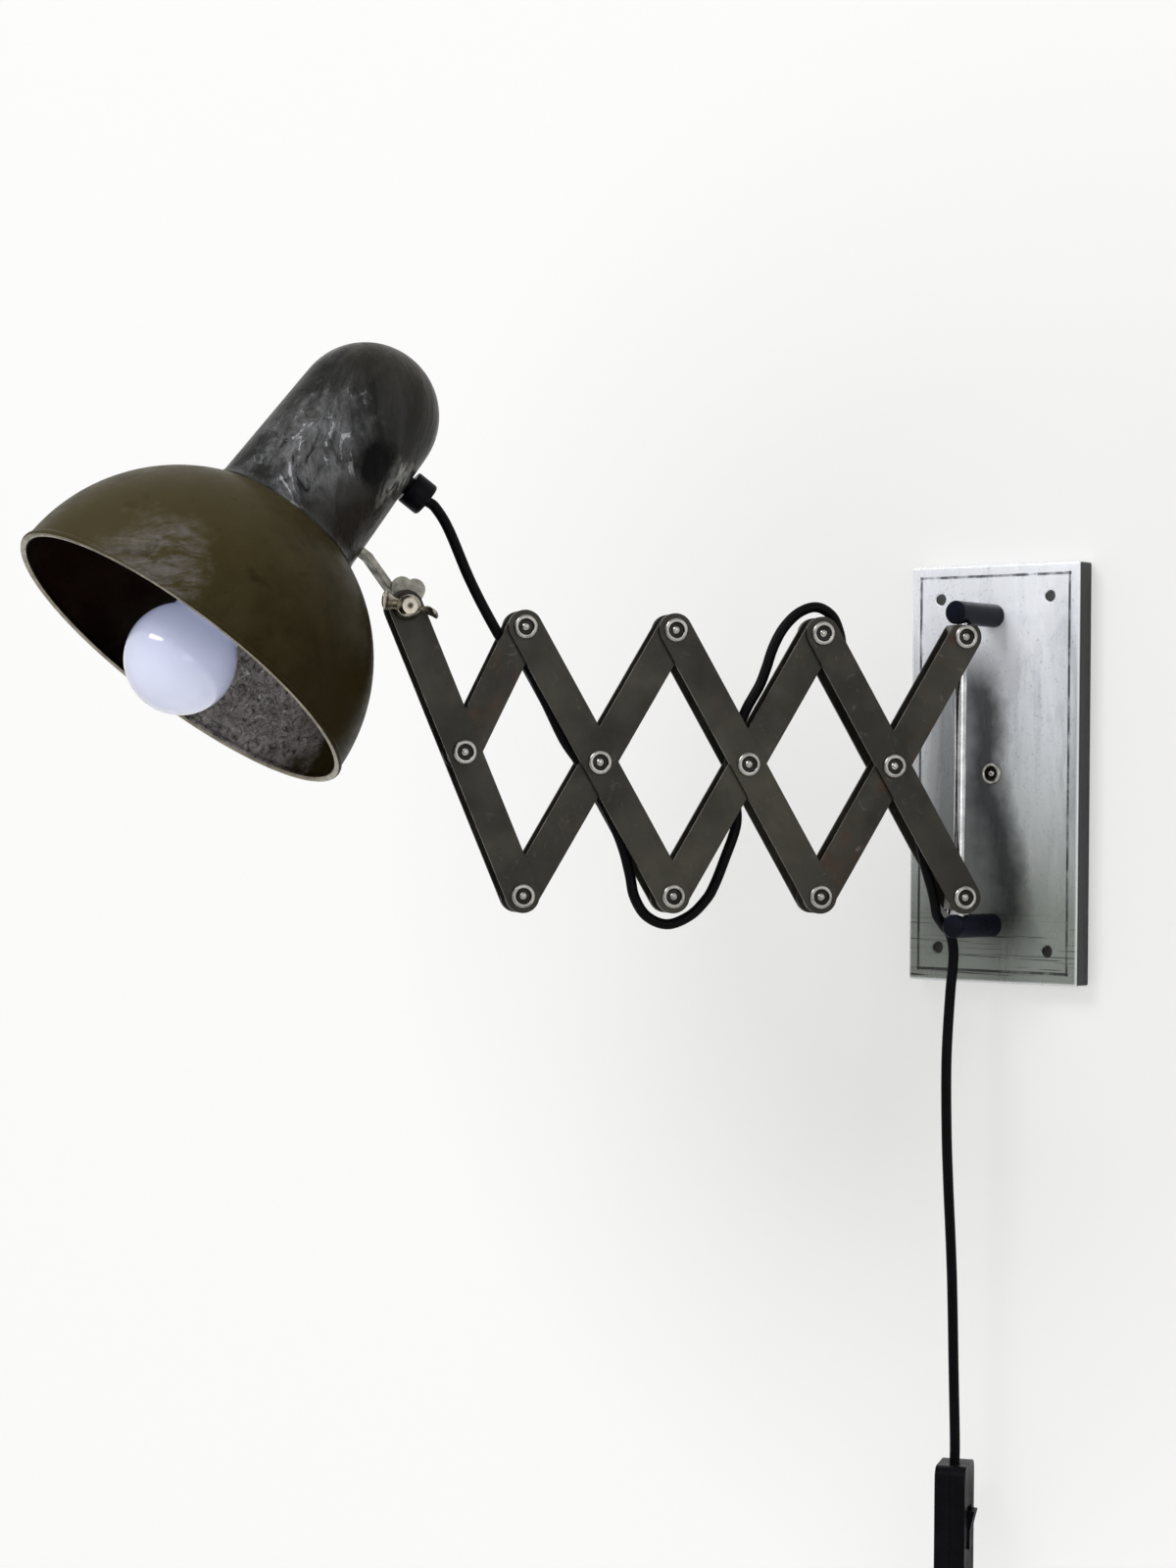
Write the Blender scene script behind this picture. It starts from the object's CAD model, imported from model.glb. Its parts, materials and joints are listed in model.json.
"""Wall lamp on a folding lattice arm: surfaces, cords, camera and light round the fixed frame.

Lengths in the frame are metres; shapes are modelled in millimetres in a piece's own axes and then
placed by a matrix that also turns millimetres into metres.
"""

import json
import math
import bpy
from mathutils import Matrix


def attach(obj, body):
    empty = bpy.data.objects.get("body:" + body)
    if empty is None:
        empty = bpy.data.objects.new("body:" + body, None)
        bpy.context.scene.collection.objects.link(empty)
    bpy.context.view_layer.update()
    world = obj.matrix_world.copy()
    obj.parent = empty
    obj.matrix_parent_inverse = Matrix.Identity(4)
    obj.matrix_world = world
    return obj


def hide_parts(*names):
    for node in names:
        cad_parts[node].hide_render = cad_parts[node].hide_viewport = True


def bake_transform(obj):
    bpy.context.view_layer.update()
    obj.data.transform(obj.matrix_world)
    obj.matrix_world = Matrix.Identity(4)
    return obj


bl_info = {
    "name": "Lattice Arm Wall Lamp",
    "version": (1, 0, 0),
    "blender": (4, 5, 0),
    "location": "3D View > Sidebar > Lamp",
    "description": "Dresses a wall lamp on a folding lattice arm with its surfaces, cords, camera and light",
    "category": "Object",
}

import bmesh
import bpy
from bpy.props import FloatProperty, FloatVectorProperty, PointerProperty
from mathutils import Matrix, Vector

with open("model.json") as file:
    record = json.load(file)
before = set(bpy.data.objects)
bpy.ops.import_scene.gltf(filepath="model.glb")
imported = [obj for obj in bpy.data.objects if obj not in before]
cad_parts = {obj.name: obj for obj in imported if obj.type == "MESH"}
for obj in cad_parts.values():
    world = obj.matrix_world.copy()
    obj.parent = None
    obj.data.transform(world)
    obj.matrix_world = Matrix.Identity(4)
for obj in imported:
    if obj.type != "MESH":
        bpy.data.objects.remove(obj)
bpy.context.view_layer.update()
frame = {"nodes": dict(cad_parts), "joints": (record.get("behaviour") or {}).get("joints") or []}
MM = 0.001

# Places taken from the frame


def pivot(joint):
    """Where a joint's axis stands, in metres."""
    return Vector(next(j["pos_m"] for j in frame["joints"] if j["name"] == joint))


def below(high, low):
    """The point under one pivot at the height of another."""
    return Vector((high.x, high.y, low.z))


def axes(origin, x, y, z):
    """A matrix from millimetres along three directions to the row frame."""
    turn = Matrix((x, y, z)).transposed() * MM
    return Matrix.Translation(origin) @ turn.to_4x4()


UP = Vector((0, 0, 1))
ARM_N = Vector(next(j["axis"] for j in frame["joints"] if j["name"] == "arm_extend")).normalized()
ARM_U = Vector((ARM_N.y, -ARM_N.x, 0))
ROD = Vector((0, pivot("arm_swing").y, 0))
ARM = axes(ROD, ARM_U, ARM_N, UP)
ROOM = axes(Vector(), Vector((1, 0, 0)), UP, Vector((0, -1, 0)))

SHADE_PITCH = math.radians(52.9)
SHADE_ROLL = math.radians(8.5)
TILT_OUT = 59.2
TILT_DOWN = 84.194
TILT = pivot("shade_tilt")
SHADE_X = -math.sin(SHADE_PITCH) * ARM_U - math.cos(SHADE_PITCH) * UP
SHADE_AXIS = math.cos(SHADE_PITCH) * ARM_U - math.sin(SHADE_PITCH) * UP
SHADE_Y = math.cos(SHADE_ROLL) * ARM_N - math.sin(SHADE_ROLL) * SHADE_AXIS
SHADE_Z = math.cos(SHADE_ROLL) * SHADE_AXIS + math.sin(SHADE_ROLL) * ARM_N
SHADE = axes(TILT - (TILT_OUT * SHADE_X + TILT_DOWN * SHADE_Z) * MM, SHADE_X, SHADE_Y, SHADE_Z)

LOW_1 = pivot("arm_extend")
HIGH_1 = pivot("slider_pivot")
TOPS = [pivot("top_pivot_1"), None, pivot("top_pivot_3")]
LOWS = [None, pivot("low_pivot_2"), None]
LOWS[0] = below(TOPS[0], LOW_1)
LOWS[2] = below(TOPS[2], LOW_1)
TOPS[1] = below(LOWS[1], HIGH_1)
MIDS = [pivot(f"centre_pivot_{k}") for k in (1, 2, 3, 4)]


def on_pivot(point):
    """Axes at a pivot whose own z faces the arm's front."""
    return axes(point, ARM_U, -UP, ARM_N)


# Sizes and colours a user would change

CORD_D = 4.4


def size(name, text, value):
    return FloatProperty(name=name, description=text, default=value, min=0.0, unit="LENGTH")


def paint(name, text, rgb):
    limits = {"size": 3, "min": 0.0, "max": 1.0, "subtype": "COLOR"}
    return FloatVectorProperty(name=name, description=text, default=rgb, **limits)


class LampSizes(bpy.types.PropertyGroup):
    """Sizes of the details that the surfaces add."""

    edge: size("Bar edge", "Rounding along the edges of the bars", 0.3 * MM)
    soft_edge: size("Moulding edge", "Rounding along the edges of the switch and plug", 1.4 * MM)
    groove_in: size("Groove inset", "From the plate's edge to its pressed line", 4.6 * MM)
    groove_deep: size("Groove depth", "Depth of the plate's pressed line", 0.45 * MM)
    plate_edge: size("Plate edge", "Rounding round the plate's front", 1.3 * MM)
    cord_d: size("Cord", "Diameter of the cord", CORD_D * MM)


class LampColours(bpy.types.PropertyGroup):
    """Colours of the surfaces."""

    plate: paint("Plate", "Worn steel of the wall plate", (0.66, 0.67, 0.69))
    bar: paint("Bars", "Dark steel of the lattice", (0.036, 0.033, 0.026))
    bowl: paint("Bowl", "Olive enamel of the bowl", (0.062, 0.050, 0.022))
    neck: paint("Neck", "Worn charcoal of the neck", (0.034, 0.035, 0.033))
    black: paint("Black", "Black mouldings and cord", (0.003, 0.003, 0.004))
    bright: paint("Bright steel", "Rivets, strap and nut", (0.52, 0.50, 0.47))
    bulb: paint("Bulb", "Opal glass of the bulb", (0.78, 0.80, 0.98))
    wall: paint("Wall", "Wall and floor", (0.93, 0.93, 0.92))


# Modelling steps


def start(obj=None):
    """Leaves edit mode and selects nothing, or only obj."""
    if bpy.context.object and bpy.context.object.mode != "OBJECT":
        bpy.ops.object.mode_set(mode="OBJECT")
    bpy.ops.object.select_all(action="DESELECT")
    if obj:
        obj.select_set(True)
        bpy.context.view_layer.objects.active = obj


def named(name):
    """The new primitive, with its place applied to its mesh."""
    obj = bpy.context.object
    bpy.ops.object.transform_apply(location=True, rotation=True, scale=True)
    obj.name = obj.data.name = name
    return obj


def edit(obj):
    """Opens obj's mesh with everything selected."""
    start(obj)
    bpy.ops.object.mode_set(mode="EDIT")
    bpy.ops.mesh.select_mode(type="VERT")
    bpy.ops.mesh.select_all(action="SELECT")


def pick(obj, kind, test):
    """In edit mode, selects only those vertices, edges or faces that pass the test."""
    bpy.ops.mesh.select_mode(type={"verts": "VERT", "edges": "EDGE", "faces": "FACE"}[kind])
    bpy.ops.mesh.select_all(action="DESELECT")
    mesh = bmesh.from_edit_mesh(obj.data)
    for item in getattr(mesh, kind):
        if test(item):
            item.select_set(True)
    mesh.select_flush_mode()
    bmesh.update_edit_mesh(obj.data)


def ends(edge):
    return [v.co for v in edge.verts]


def modified(obj, kind, **settings):
    """Adds a modifier and applies it."""
    start(obj)
    modifier = obj.modifiers.new("step", kind)
    for key, value in settings.items():
        setattr(modifier, key, value)
    bpy.ops.object.modifier_apply(modifier=modifier.name)


def cut(obj, cutter):
    """Takes one solid away from another."""
    modified(obj, "BOOLEAN", object=cutter, operation="DIFFERENCE", solver="EXACT")
    bpy.data.objects.remove(cutter)


def joined(name, pieces):
    """Several meshes as one piece; bare ones take the first one's surface."""
    start()
    for piece in pieces:
        if pieces[0].data.materials and not piece.data.materials:
            piece.data.materials.append(pieces[0].data.materials[0])
        piece.select_set(True)
    bpy.context.view_layer.objects.active = pieces[0]
    bpy.ops.object.join()
    pieces[0].name = pieces[0].data.name = name
    return pieces[0]


# A pole is drawn as a ring this small, in millimetres, and then merged
POLE = 0.002


def turned(name, profile, sides=64):
    """A piece turned on its own z: a ring drawn through steps of (radius, height)."""
    start()
    radius, height = profile[0]
    bpy.ops.mesh.primitive_circle_add(vertices=sides, radius=max(radius, POLE), location=(0, 0, height))
    obj = named(name)
    edit(obj)
    for next_radius, next_height in profile[1:]:
        bpy.ops.mesh.extrude_region_move(TRANSFORM_OT_translate={"value": (0, 0, next_height - height)})
        grow = max(next_radius, POLE) / max(radius, POLE)
        bpy.ops.transform.resize(value=(grow, grow, 1), center_override=(0, 0, next_height))
        radius, height = next_radius, next_height
    bpy.ops.mesh.select_all(action="SELECT")
    bpy.ops.mesh.remove_doubles(threshold=2 * POLE)
    bpy.ops.mesh.normals_make_consistent(inside=False)
    bpy.ops.object.mode_set(mode="OBJECT")
    return obj


def arc(centre_r, centre_z, radius, first, last, steps):
    """Points (radius, height) along an arc; angles in degrees from the outward direction."""
    angles = [math.radians(first + (last - first) * k / steps) for k in range(steps + 1)]
    return [(centre_r + radius * math.cos(a), centre_z + radius * math.sin(a)) for a in angles]


def eased(name, node, width, segments=2, angle=35):
    """A copy of a node's solid, welded, with its sharp edges rounded."""
    obj = bpy.data.objects.new(name, frame["nodes"][node].data.copy())
    bpy.context.scene.collection.objects.link(obj)
    obj.data.materials.clear()
    edit(obj)
    bpy.ops.mesh.remove_doubles(threshold=2e-6)
    bpy.ops.mesh.dissolve_limited(angle_limit=math.radians(0.4))
    bpy.ops.object.mode_set(mode="OBJECT")
    if width:
        modified(
            obj,
            "BEVEL",
            width=width,
            segments=segments,
            limit_method="ANGLE",
            angle_limit=math.radians(angle),
            use_clamp_overlap=True,
        )
        bpy.ops.object.shade_smooth_by_angle(angle=math.radians(angle))
        modified(obj, "WEIGHTED_NORMAL", keep_sharp=True)
    return obj


def dress(obj, finish):
    """Gives the whole piece one surface."""
    obj.data.materials.clear()
    obj.data.materials.append(surface(finish))


def paint_faces(obj, finish, test):
    """Gives the faces that pass the test another surface."""
    obj.data.materials.append(surface(finish))
    index = len(obj.data.materials) - 1
    for face in obj.data.polygons:
        if test(face):
            face.material_index = index


def done(obj, place, finish, body, nodes=(), angle=35, flat=False):
    """Places a finished mesh, shades it, dresses it unless it is dressed, and hangs it on its body."""
    if place is not None:
        obj.data.transform(place)
    start(obj)
    bpy.ops.object.shade_smooth_by_angle(angle=math.radians(angle))
    if flat:
        modified(obj, "WEIGHTED_NORMAL", keep_sharp=True)
    if finish:
        dress(obj, finish)
    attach(obj, body)
    if nodes:
        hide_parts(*nodes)


def from_node(name, node, width, finish, body, segments=2, angle=35, smooth_angle=35):
    """A node's own shape with eased edges, dressed and hung on its body."""
    done(eased(name, node, width, segments, angle), None, finish, body, [node], smooth_angle)


# Surfaces


class Surface:
    """A material built node by node on Object coordinates."""

    def __init__(self, name, roughness, metallic=0.0, **sockets):
        self.material = bpy.data.materials.new(name)
        self.material.use_nodes = True
        self.nodes = self.material.node_tree.nodes
        self.links = self.material.node_tree.links
        self.shader = self.nodes["Principled BSDF"]
        self.shader.inputs["Roughness"].default_value = roughness
        self.shader.inputs["Metallic"].default_value = metallic
        for key, value in sockets.items():
            self.shader.inputs[key.replace("_", " ")].default_value = value
        self.place = self.nodes.new("ShaderNodeTexCoord").outputs["Object"]

    def add(self, kind, values=(), **settings):
        """A node with its settings and some of its inputs, linked where a socket is given."""
        node = self.nodes.new(kind)
        for key, value in settings.items():
            setattr(node, key, value)
        for key, value in dict(values).items():
            if isinstance(value, bpy.types.NodeSocket):
                self.links.new(value, node.inputs[key])
            else:
                node.inputs[key].default_value = value
        return node

    def stretched(self, scale, shift=(0, 0, 0), turn=(0, 0, 0)):
        """Coordinates drawn out or turned."""
        return self.add(
            "ShaderNodeMapping", {"Vector": self.place, "Scale": scale, "Location": shift, "Rotation": turn}
        ).outputs["Vector"]

    def noise(self, grains_per_m, detail=4.0, rough=0.55, twist=0.0, where=None):
        values = {"Scale": grains_per_m, "Detail": detail, "Roughness": rough, "Distortion": twist}
        return self.add("ShaderNodeTexNoise", {"Vector": where or self.place, **values}).outputs["Fac"]

    def between(self, value, low, high, to_low=0.0, to_high=1.0):
        """Maps a value from low..high to another range, clamped."""
        limits = {"From Min": low, "From Max": high, "To Min": to_low, "To Max": to_high}
        return self.add("ShaderNodeMapRange", {"Value": value, **limits}).outputs["Result"]

    def math(self, operation, *values):
        return self.add("ShaderNodeMath", dict(enumerate(values)), operation=operation).outputs[0]

    def times(self, a, b):
        return self.math("MULTIPLY", a, b)

    def along(self, axis):
        """One coordinate, in metres."""
        return self.add("ShaderNodeSeparateXYZ", {0: self.place}).outputs[axis]

    def spot(self, at, radius, ragged=0.0):
        """1 round a point given in millimetres, falling to 0 at the radius; ragged roughens its edge."""
        apart = self.add("ShaderNodeVectorMath", {0: self.place, 1: Vector(at) * MM}, operation="DISTANCE")
        away = apart.outputs["Value"]
        if ragged:
            grain = self.between(self.noise(70, 5, 0.65), 0.3, 0.7, -ragged * MM, ragged * MM)
            away = self.math("ADD", away, grain)
        return self.between(away, radius * MM * 0.45, radius * MM, 1.0, 0.0)

    def mix(self, amount, a, b):
        a, b = [tuple(c) + (1.0,) if not isinstance(c, bpy.types.NodeSocket) else c for c in (a, b)]
        return self.add("ShaderNodeMix", {0: amount, 6: a, 7: b}, data_type="RGBA").outputs[2]

    def bump(self, height, depth, over=None):
        values = {"Height": height, "Distance": depth, "Strength": 1.0}
        if over:
            values["Normal"] = over
        return self.add("ShaderNodeBump", values).outputs["Normal"]

    def set(self, socket, source):
        self.links.new(source, self.shader.inputs[socket])
        return self


def scaled(rgb, k):
    return tuple(min(1.0, c * k) for c in rgb)


def tinted(rgb, red, green, blue):
    return rgb[0] * red, rgb[1] * green, rgb[2] * blue


def worn_steel(name, rgb, roughness=0.3, speck=900):
    """Bright or dark bare steel with fine grain and stains."""
    s = Surface(name, roughness, 1.0)
    stain = s.between(s.noise(140, 5, 0.6), 0.42, 0.68)
    grain = s.noise(speck, 3)
    s.set("Base Color", s.mix(stain, s.mix(grain, scaled(rgb, 1.12), scaled(rgb, 0.82)), scaled(rgb, 0.55)))
    s.set("Roughness", s.between(s.noise(260, 4), 0.35, 0.65, roughness * 0.75, roughness * 1.45))
    s.set("Normal", s.bump(grain, 0.00004))
    return s.material


# The pressed line: in from the plate's edge, half its width, and how far its ends run on
LINE_IN, LINE_HALF, LINE_OVER = 5.1 * MM, 0.6 * MM, 0.7 * MM
STREAK_LEAN = 0.163


def plate_steel(rgb):
    """Scuffed steel sheet: bluish above, greenish grey below, with a leaning smudge and dark scratches."""
    s = Surface("plate_steel", 0.3, 0.35)
    up, across = s.along("Z"), s.along("X")
    tone = s.mix(s.between(up, -0.060, 0.070), tinted(rgb, 0.42, 0.45, 0.39), tinted(rgb, 1.95, 1.98, 2.06))
    cloud = s.noise(26, 6, 0.62, 0.8, s.stretched((1.3, 1.0, 0.35)))
    tone = s.mix(s.between(cloud, 0.50, 0.72, 0.0, 0.6), tone, tinted(rgb, 0.40, 0.42, 0.42))
    slant = s.math("MULTIPLY_ADD", up, STREAK_LEAN, across)
    sway = s.between(s.noise(24, 5, 0.62), 0.3, 0.7, -0.004, 0.008)
    off_line = s.math("ADD", slant, sway)
    reach = s.times(s.between(up, 0.058, 0.036), s.between(up, -0.082, -0.058))
    shaded = s.times(s.between(off_line, 0.014, -0.004, 0.0, 0.62), s.between(across, -0.036, -0.026))
    tone = s.mix(s.times(reach, shaded), tone, (0.090, 0.093, 0.095))
    from_line = s.math("ABSOLUTE", off_line)
    tone = s.mix(s.times(reach, s.between(from_line, 0.014, 0.002, 0.0, 0.85)), tone, (0.030, 0.030, 0.033))
    wipe = s.noise(60, 6, 0.65, 0.8, s.stretched((1.2, 1.0, 0.22)))
    tone = s.mix(s.between(wipe, 0.56, 0.74, 0.0, 0.40), tone, tinted(rgb, 0.45, 0.47, 0.44))
    dust = s.noise(620, 4, 0.75)
    tone = s.mix(s.between(dust, 0.58, 0.70, 0.0, 0.45), tone, (0.12, 0.12, 0.11))
    scratch = s.noise(14, 3, 0.7, 0.6, s.stretched((0.8, 1.0, 38.0)))
    low_down = s.between(up, -0.058, -0.072)
    tone = s.mix(s.times(s.between(scratch, 0.58, 0.64), low_down), tone, (0.02, 0.02, 0.02))
    x, z = s.math("ABSOLUTE", across), s.math("ABSOLUTE", up)
    line_x, line_z = (whole / 2 * MM - LINE_IN for whole in (PLATE_W, PLATE_H))
    for value, place, other, end in ((x, line_x, z, line_z), (z, line_z, x, line_x)):
        far = end + LINE_OVER
        off = s.math("COMPARE", value, place, LINE_HALF)
        drawn = s.times(off, s.between(s.noise(90, 5, 0.7), 0.34, 0.52, 0.15, 0.85))
        tone = s.mix(s.times(drawn, s.between(other, far + 0.0002, far)), tone, (0.045, 0.045, 0.050))
        tone = s.mix(s.between(value, place + 0.0036, place + 0.0046, 0.0, 0.8), tone, (0.95, 0.96, 0.98))
    facing = s.add("ShaderNodeSeparateXYZ", {0: s.add("ShaderNodeTexCoord").outputs["Normal"]}).outputs["X"]
    side = s.between(facing, 0.6, 0.9)
    tone = s.mix(side, tone, (0.035, 0.035, 0.038))
    s.set("Base Color", tone)
    s.set("Roughness", s.between(cloud, 0.38, 0.66, 0.22, 0.42))
    brushed = s.noise(300, 3, 0.6, 0, s.stretched((0.08, 1.0, 3.0)))
    s.set("Normal", s.bump(brushed, 0.00004, s.bump(cloud, 0.0008)))
    return s.material


def bar_steel(rgb, name="bar_steel", warm=0.0):
    """Dark waxed steel strip, with some brown patches and rubbed spots."""
    s = Surface(name, 0.4, 0.5, Specular_IOR_Level=0.35)
    broad = s.noise(22, 4, 0.5, 0.4)
    tone = s.mix(s.between(broad, 0.38, 0.62), scaled(rgb, 0.72), tinted(rgb, 1.35, 1.32, 1.28))
    rust = s.noise(58, 6, 0.62, 1.2)
    browned = s.between(rust, 0.60 - 0.12 * warm, 0.72, 0.0, 0.35 + 0.5 * warm)
    tone = s.mix(browned, tone, (0.050, 0.026, 0.012))
    rub = s.noise(130, 6, 0.7, 1.6)
    tone = s.mix(s.between(rub, 0.60, 0.72, 0.0, 0.30 + 0.25 * warm), tone, (0.16, 0.155, 0.145))
    chip = s.noise(170, 5, 0.7, 1.0)
    tone = s.mix(s.between(chip, 0.66, 0.74, 0.0, 0.7), tone, (0.008, 0.007, 0.006))
    s.set("Base Color", tone)
    s.set("Roughness", s.between(s.noise(90, 4), 0.35, 0.65, 0.32, 0.5))
    s.set("Normal", s.bump(s.noise(700, 3), 0.00003, s.bump(rust, 0.00015)))
    return s.material


def bowl_enamel(rgb):
    """Olive brown enamel, paler above, rubbed thin in long smears and a little uneven."""
    s = Surface("bowl_enamel", 0.38, 0.0, Specular_IOR_Level=0.03, Coat_Weight=0.02, Coat_Roughness=0.25)
    broad = s.noise(12, 3, 0.5, 0.3)
    deep = tinted(rgb, 0.30, 0.26, 0.12)
    above = s.times(s.spot((-194.0, -338.0, 112.0), 118.0, 12.0), s.between(broad, 0.34, 0.64, 0.72, 1.0))
    tone = s.mix(above, deep, rgb)
    drawn = s.stretched((0.30, 0.30, 1.0), turn=(0.0, 0.5, 0.6))
    smear = s.noise(260, 8, 0.78, 0.5, drawn)
    rubbed = s.spot((-152.0, -357.0, 76.0), 25.0, 8.0)
    tone = s.mix(s.times(rubbed, s.between(smear, 0.40, 0.62, 0.0, 0.85)), tone, (0.150, 0.136, 0.128))
    tone = s.mix(s.between(smear, 0.62, 0.78, 0.0, 0.25), tone, (0.090, 0.072, 0.044))
    dark = s.noise(80, 5, 0.6, 0.4)
    tone = s.mix(s.between(dark, 0.58, 0.74, 0.0, 0.5), tone, (0.010, 0.006, 0.002))
    s.set("Base Color", tone)
    s.set("Roughness", s.between(smear, 0.35, 0.7, 0.30, 0.48))
    s.set("Normal", s.bump(s.noise(500, 3), 0.00003, s.bump(broad, 0.0012)))
    return s.material


def bowl_lining():
    """Inside of the bowl: dark and sooty, scraped to bare metal beside the bulb."""
    s = Surface("bowl_lining", 0.4, 0.0, Specular_IOR_Level=0.02)
    broad = s.noise(24, 4)
    tone = s.mix(s.between(broad, 0.42, 0.66), (0.004, 0.003, 0.001), (0.024, 0.020, 0.016))
    tone = s.mix(s.times(s.spot((-255.0, -298.0, 84.0), 46.0, 8.0), 0.7), tone, (0.014, 0.004, 0.003))
    tone = s.mix(s.spot((-184.0, -237.0, 8.0), 50.0, 9.0), tone, (0.034, 0.026, 0.006))
    bare = s.spot((-217.0, -234.0, 26.0), 46.0, 12.0)
    scrape = s.noise(260, 7, 0.80, 1.8)
    tone = s.mix(s.times(bare, s.between(scrape, 0.36, 0.58)), tone, (0.56, 0.51, 0.50))
    flecks = s.between(s.noise(170, 8, 0.85, 2.6), 0.57, 0.60)
    tone = s.mix(s.times(s.spot((-218.0, -235.0, 28.0), 34.0, 10.0), flecks), tone, (1.0, 0.98, 0.96))
    s.set("Base Color", tone)
    s.set("Roughness", s.between(scrape, 0.4, 0.68, 0.5, 0.3))
    s.set("Normal", s.bump(scrape, 0.0010))
    return s.material


def neck_metal(rgb):
    """Charcoal neck, battered: a pale brushed patch, scars, a black stain and brown edges."""
    s = Surface("neck_metal", 0.35, 0.1, Specular_IOR_Level=0.06, Coat_Weight=0.05, Coat_Roughness=0.14)
    drawn = s.stretched((1.0, 1.0, 0.42), turn=(0.0, 0.7, 0.9))
    patch = s.noise(34, 6, 0.62, 0.9, drawn)
    tone = s.mix(s.between(patch, 0.44, 0.64), scaled(rgb, 0.40), (0.040, 0.039, 0.036))
    brown_top = s.spot((-123.0, -221.0, 179.0), 46.0, 9.0)
    tone = s.mix(s.times(brown_top, 0.9), tone, (0.022, 0.017, 0.010))
    brown = s.noise(24, 4, 0.5)
    tone = s.mix(s.between(brown, 0.56, 0.72, 0.0, 0.5), tone, (0.030, 0.022, 0.012))
    brushed = s.noise(190, 6, 0.70, 0.6, drawn)
    pale = s.spot((-149.0, -273.0, 126.0), 30.0, 12.0)
    tone = s.mix(s.times(pale, s.between(brushed, 0.36, 0.64, 0.10, 0.85)), tone, (0.185, 0.187, 0.195))
    scar = s.noise(120, 6, 0.70, 1.2, drawn)
    tone = s.mix(s.times(pale, s.between(scar, 0.56, 0.64)), tone, (0.012, 0.012, 0.012))
    tone = s.mix(s.times(pale, s.between(scar, 0.41, 0.37, 0.0, 0.7)), tone, (0.50, 0.51, 0.54))
    brown_low = s.spot((-145.0, -252.0, 93.0), 28.0, 8.0)
    tone = s.mix(s.times(brown_low, 0.85), tone, (0.008, 0.004, 0.001))
    scarred = s.times(s.spot((-138.0, -237.0, 114.0), 12.0, 6.0), s.between(brushed, 0.42, 0.56))
    tone = s.mix(scarred, tone, (0.30, 0.30, 0.28))
    tone = s.mix(s.spot((-137.0, -251.0, 121.0), 15.0, 5.0), tone, (0.001, 0.001, 0.001))
    s.set("Base Color", tone)
    s.set("Roughness", s.between(patch, 0.35, 0.65, 0.40, 0.25))
    s.set("Normal", s.bump(scar, 0.0003, s.bump(patch, 0.0022)))
    return s.material


def black_gloss(name, rgb, roughness=0.32):
    """Black moulding with a faint grain and finger marks."""
    s = Surface(name, roughness, Specular_IOR_Level=0.07)
    grain = s.noise(1400, 2)
    marks = s.noise(120, 5)
    s.set("Base Color", s.mix(s.between(marks, 0.45, 0.7), rgb, tinted(rgb, 1.6, 1.6, 1.9)))
    s.set("Roughness", s.between(marks, 0.3, 0.7, roughness * 0.8, roughness * 1.3))
    s.set("Normal", s.bump(grain, 0.00002))
    return s.material


def opal_glass(rgb):
    """Opal bulb: milky glass with a glossy skin."""
    s = Surface("opal_glass", 0.16, Coat_Weight=1.0, Coat_Roughness=0.03, Subsurface_Weight=0.25)
    s.shader.inputs["Emission Color"].default_value = (0.60, 0.66, 1.0, 1.0)
    s.shader.inputs["Subsurface Radius"].default_value = (0.006, 0.006, 0.007)
    milk = s.noise(30, 2)
    s.set("Emission Strength", s.between(s.spot((-172.0, -314.0, 60.0), 46.0), 0.0, 1.0, 0.13, 0.34))
    s.set("Base Color", s.mix(milk, rgb, scaled(rgb, 1.06)))
    return s.material


def metal_plain(name, rgb, roughness):
    """Brass, nickel or tinned metal with light tarnish."""
    s = Surface(name, roughness, 1.0)
    tarnish = s.noise(210, 5)
    s.set("Base Color", s.mix(s.between(tarnish, 0.45, 0.7), rgb, scaled(rgb, 0.6)))
    s.set("Roughness", s.between(tarnish, 0.3, 0.7, roughness * 0.8, roughness * 1.5))
    return s.material


MADE = {}


def surface(name):
    """Each surface is made once, from the colours that the user set."""
    c = bpy.context.scene.lamp_colours
    recipes = {
        "plate": lambda: plate_steel(tuple(c.plate)),
        "bar": lambda: bar_steel(tuple(c.bar)),
        "bar_brown": lambda: bar_steel(tuple(c.bar), "bar_steel_browned", 1.0),
        "bowl": lambda: bowl_enamel(tuple(c.bowl)),
        "lining": bowl_lining,
        "rim": lambda: worn_steel("rim_edge", (0.40, 0.36, 0.28), 0.26),
        "neck": lambda: neck_metal(tuple(c.neck)),
        "rivet": lambda: worn_steel("rivet_bright", tuple(c.bright), 0.26),
        "rivet_dark": lambda: worn_steel("rivet_dark", (0.035, 0.032, 0.030), 0.35),
        "strap": lambda: worn_steel("strap_steel", (0.30, 0.29, 0.25), 0.42),
        "nut": lambda: worn_steel("nut_nickel", (0.50, 0.46, 0.38), 0.24),
        "rod": lambda: worn_steel("rod_bright", (0.80, 0.80, 0.80), 0.14),
        "collar": lambda: worn_steel("collar_steel", (0.16, 0.15, 0.14), 0.34),
        "peg": lambda: black_gloss("peg_black", (0.006, 0.007, 0.012), 0.3),
        "moulding": lambda: black_gloss("moulding_black", tuple(c.black), 0.3),
        "cord": lambda: black_gloss("cord_black", scaled(tuple(c.black), 0.7), 0.42),
        "bulb": lambda: opal_glass(tuple(c.bulb)),
        "cap": lambda: metal_plain("cap_tinned", (0.70, 0.70, 0.68), 0.25),
        "brass": lambda: metal_plain("tube_brass", (0.62, 0.45, 0.19), 0.3),
        "pin": lambda: metal_plain("pin_nickel", (0.66, 0.63, 0.56), 0.2),
        "ceramic": lambda: black_gloss("ring_ceramic", (0.62, 0.60, 0.54), 0.25),
    }
    if name not in MADE:
        MADE[name] = recipes[name]()
    return MADE[name]


# Camera, wall and light

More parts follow.
